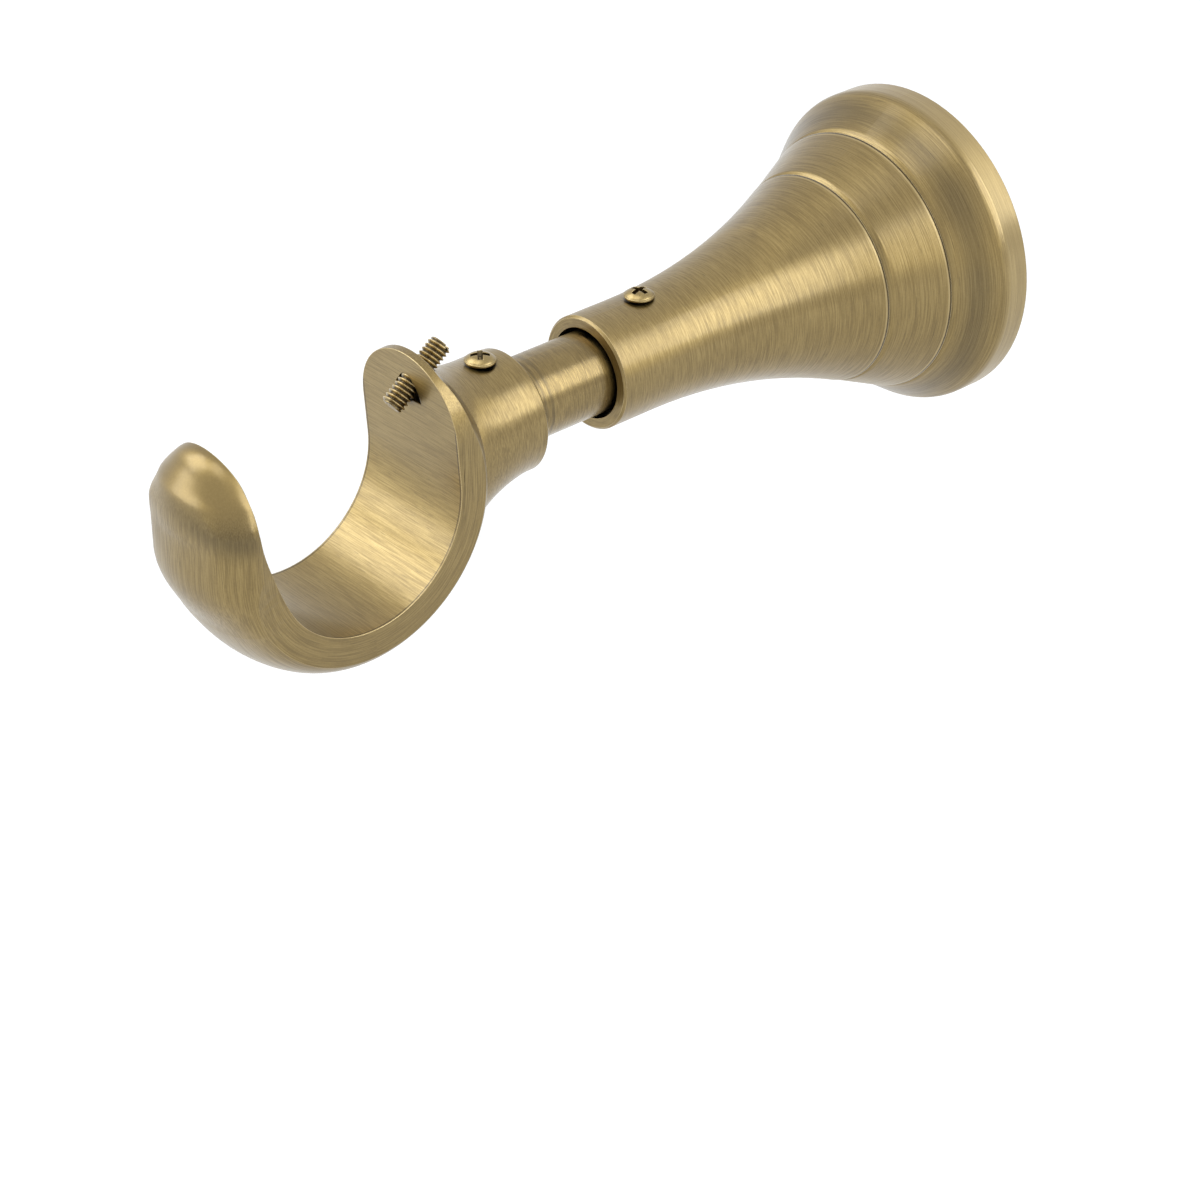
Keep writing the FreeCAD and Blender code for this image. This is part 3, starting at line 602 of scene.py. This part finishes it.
def clamp_screw(node, turn):
    """A pan head screw with a cross recess, whose head has a rim, a step and a dome."""
    middle, low, high = box_middle(node)
    radius = (high.x - low.x) / 2
    seat = high.z - HEAD_HEIGHT
    dome = radius - DOME_EDGE
    angles = cross_angles()
    around = len(angles)

    def dome_height(reach):
        return seat + DOME_FOOT + (DOME_TOP - DOME_FOOT) * (1 - (reach / dome) ** DOME_POWER)

    rings = thread(angles, SHANK_RADIUS, SHANK_THREAD, SHANK_PITCH, low.z, seat - NECK_LENGTH, SHANK_TIP)
    rings.append([(NECK_RADIUS, seat - NECK_LENGTH)] * around)
    rings.append([(NECK_RADIUS, seat)] * around)
    for inward, height in HEAD_EDGE:
        rings.append([(radius - inward, seat + height)] * around)
    for share in DOME_SHARES:
        rings.append([(dome * share, dome_height(dome * share))] * around)
    outer = dome * DOME_SHARES[-1]
    cross = [cross_reach(angle) for angle in angles]
    for share in (0.5, 0.12):
        ring = [edge + (outer - edge) * share for edge in cross]
        rings.append([(reach, dome_height(reach)) for reach in ring])
    for inward, down in RECESS_WALL:
        rings.append([(edge * inward, dome_height(edge) - down) for edge in cross])
    rings.append([(min(edge * 0.4, 0.0005), seat + RECESS_FLOOR) for edge in cross])
    rings.append([(0.0002, seat + RECESS_TIP)] * around)
    piece = lathe(node + "_detailed", angles, rings)
    turned = Matrix.Rotation(math.radians(turn), 4, "Z")
    piece.data.transform(Matrix.Translation((middle.x, middle.y, 0)) @ turned)
    return piece


def cut_slot(piece, height):
    """Cut the driver slot into a screw whose end is at that height."""
    mesh = bpy.data.meshes.new("slot")
    work = bmesh.new()
    at_end = Matrix.Translation((0, 0, height)) @ Matrix.Diagonal((*LOCK_SLOT, 1))
    bmesh.ops.create_cube(work, size=1, matrix=at_end)
    work.to_mesh(mesh)
    work.free()
    cutter = add_piece("slot", mesh)
    cut = piece.modifiers.new("slot", "BOOLEAN")
    cut.operation = "DIFFERENCE"
    cut.solver = "EXACT"
    cut.object = cutter
    evaluated = piece.evaluated_get(bpy.context.evaluated_depsgraph_get())
    made = bpy.data.meshes.new_from_object(evaluated)
    piece.modifiers.clear()
    piece.data = made
    bpy.data.objects.remove(cutter)


def lock_screw(node):
    """The headless screw through the tab, with its thread, flat tip and driver slot."""
    middle, low, high = box_middle(node)
    radius = (high.x - low.x) / 2
    face = radius - LOCK_BEVEL
    count = 64
    angles = [math.tau * number / count for number in range(count)]
    rings = [[(reach, height)] * count for reach, height in (*LOCK_TIP, (face - 0.00006, 0))]
    for ring in thread(angles, radius, LOCK_THREAD, LOCK_PITCH, 0, LOCK_LENGTH, face):
        rings.append([(min(reach, face + LOCK_LENGTH - height), height) for reach, height in ring])
    piece = lathe(node + "_threaded", angles, rings)
    cut_slot(piece, LOCK_LENGTH)
    turn = Vector((0, 0, 1)).rotation_difference(LOCK_AXIS).to_matrix().to_4x4()
    piece.data.transform(Matrix.Translation(middle - LOCK_AXIS * LOCK_LENGTH / 2) @ turn)
    return piece


# How far the nose's outside moves outward, by height above the arm's axis
NOSE_SWELL = (
    (-0.0200, 0.0), (-0.0128, 0.00025), (-0.0053, 0.0006), (0.0005, 0.0008), (0.0040, 0.0007), (0.0082, 0.0),
    (0.0118, -0.00045), (0.0175, 0.0))
NOSE_INNER = -0.1560
NOSE_OUTER = -0.1600
NOSE_HALF = 0.0121
NOSE_ROOM = 0.003


def smooth(share):
    share = min(max(share, 0), 1)
    return share * share * (3 - 2 * share)


def swell_at(height):
    for (low, first), (high, second) in zip(NOSE_SWELL, NOSE_SWELL[1:]):
        if low <= height <= high:
            return first + (second - first) * smooth((height - low) / (high - low))
    return 0.0


def hook_casting():
    """The frame's hook with the outside of its nose polished into one smooth line.

    What moves outward slows down near the front of the frame's hook and never passes it.
    """
    mesh = nodes["hook"].data.copy()
    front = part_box("hook")[0][1]
    for point in mesh.vertices:
        move = swell_at(point.co.z) * smooth((point.co.y - NOSE_INNER) / (NOSE_OUTER - NOSE_INNER))
        room = smooth((point.co.y - front) / NOSE_ROOM) if move > 0 else 1.0
        point.co.x += move * point.co.x / NOSE_HALF
        point.co.y -= move * room
    return add_piece("hook_casting", mesh)


# The materials, each for the slot of its name
MATERIALS = {
    "bell_brass": turned_brass(
        "bell_brass",
        # Painted dark reflection between the lip and the near groove, and painted shade at each groove's foot
        [(LIP + 0.0024, NEAR_GROOVE - 0.0024, 0.0018, 0.36)]
        + [(groove + 0.00002, groove + 0.00026, 0.00008, 0.75) for groove in (NEAR_GROOVE, FAR_GROOVE)],
        # Painted highlight on the lip
        grooves=(NEAR_GROOVE, FAR_GROOVE), highlight_zone=(-0.001, LIP - 0.0004, 0.0012, 0.22)),
    "rod_brass": turned_brass(
        "rod_brass",
        # Painted shade where the rod enters the bell and where it meets and enters the collar; the two thin
        # rings by the collar are turning marks, also darkened as painted shade
        [(BELL_END - 0.009, BELL_END, 0.006, 0.16),
         (COLLAR_END - 0.0042, COLLAR_END - 0.0035, 0.0002, 0.3),
         (COLLAR_END - 0.0026, COLLAR_END - 0.0021, 0.0002, 0.35),
         (COLLAR_END - 0.0013, COLLAR_END + 0.02, 0.0005, 0.4)],
        tone=0.42, rough=0.3),
    "hook_brass": cast_brass("hook_brass"),
    "screw_brass": plated("screw_brass", 0.7, 0.28),
    "lock_brass": threaded_brass(
        "lock_brass", box_middle("pole_lock_screw")[0], LOCK_AXIS, LOCK_RADIUS, LOCK_THREAD, LOCK_LENGTH / 2),
    "plate_steel": zinc("plate_steel", 190, 192),
    "grub_steel": zinc("grub_steel", 120, 122),
}

# Own pieces: the node that each replaces, the body it rides on and its slot
PIECES = (
    (hook_casting(), "hook", "hook_part", "hook_brass"),
    (clamp_screw("rod_clamp_screw", 8), "rod_clamp_screw", "base", "screw_brass"),
    (clamp_screw("hook_clamp_screw", 52), "hook_clamp_screw", "hook_part", "screw_brass"),
    (lock_screw("pole_lock_screw"), "pole_lock_screw", "lock_screw", "lock_brass"),
)
for piece, node, body, slot in PIECES:
    piece.data.materials.clear()
    piece.data.materials.append(MATERIALS[slot])
    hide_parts(node)
    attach(piece, body)

FINISHES = {
    "bell": "bell_brass", "arm_rod": "rod_brass", "hook": "hook_brass", "wall_plate": "plate_steel",
    "base_grub_screw": "grub_steel",
}
for node, slot in FINISHES.items():
    for spot in nodes[node].material_slots:
        spot.material = MATERIALS[slot]


# Floor, background and lamps
FLOOR_HEIGHT = -0.075
FLOOR_HALF = 3
FLOOR_NEAR_GLOW = 0.34
FLOOR_FAR_GLOW = 0.72
SKY_ON_OBJECT = 0.35
CENTRE = Vector((0, -0.08, 0))
LAMP_DISTANCE = 1.1
LAMP_COLOUR = (0.94, 0.97, 1.0)

# Name, azimuth and elevation in degrees, width and height in metres, power in watts
LAMPS = (
    ("right", 117, 35, 0.9, 0.8, 7.0),
    ("left", -30, 12, 0.8, 0.4, 3.0),
    ("high", -52, 44, 0.7, 0.7, 5.2),
    ("top", 0, 75, 0.5, 0.5, 1.6),
)


def seen_directly(graph):
    """1 where the camera sees a surface itself or in metal or glass."""
    path = graph.add("LightPath").outputs
    seen = graph.math("ADD", path["Is Camera Ray"], path["Is Glossy Ray"])
    return graph.math("ADD", seen, path["Is Transmission Ray"], clamp=True)


def add_floor():
    """A pale floor that glows enough to be white where the lamps don't reach."""
    corners = [(x * FLOOR_HALF, y * FLOOR_HALF, 0) for x, y in ((-1, -1), (1, -1), (1, 1), (-1, 1))]
    mesh = bpy.data.meshes.new("floor")
    mesh.from_pydata(corners, [], [(0, 1, 2, 3)])
    floor = add_piece("floor", mesh)
    floor.location.z = FLOOR_HEIGHT
    material, graph = new_material("floor")
    paint = graph.add("BsdfDiffuse", (0.8, 0.8, 0.8, 1))
    far = graph.step(graph.vector("LENGTH", graph.place()), 0.35, 1.5)
    strength = graph.math("MULTIPLY", seen_directly(graph), graph.blend(far, FLOOR_NEAR_GLOW, FLOOR_FAR_GLOW))
    glow = graph.add("Emission", (1, 1, 1, 1), strength)
    both = graph.add("AddShader", paint.outputs[0], glow.outputs[0])
    graph.add("OutputMaterial", both.outputs[0])
    mesh.materials.append(material)


def add_world():
    world = bpy.data.worlds.new("studio")
    scene.world = world
    world.use_nodes = True
    world.node_tree.nodes.clear()
    graph = Graph(world.node_tree)
    sky = graph.add("Background", (1, 1, 1, 1), graph.blend(seen_directly(graph), SKY_ON_OBJECT, 1.0))
    graph.add("OutputWorld", sky.outputs[0])


def add_lamp(name, azimuth, elevation, width, height, power):
    """A soft box that looks at the bracket."""
    away = toward(math.radians(azimuth), math.radians(elevation))
    light = bpy.data.lights.new(name, "AREA")
    light.shape = "RECTANGLE"
    light.size = width
    light.size_y = height
    light.energy = power
    light.color = LAMP_COLOUR
    lamp = bpy.data.objects.new(name, light)
    lamp.location = CENTRE + away * LAMP_DISTANCE
    lamp.rotation_euler = away.to_track_quat("Z", "Y").to_euler()
    scene.collection.objects.link(lamp)


add_floor()
add_world()
for lamp in LAMPS:
    add_lamp(*lamp)

scene.view_settings.view_transform = "Standard"
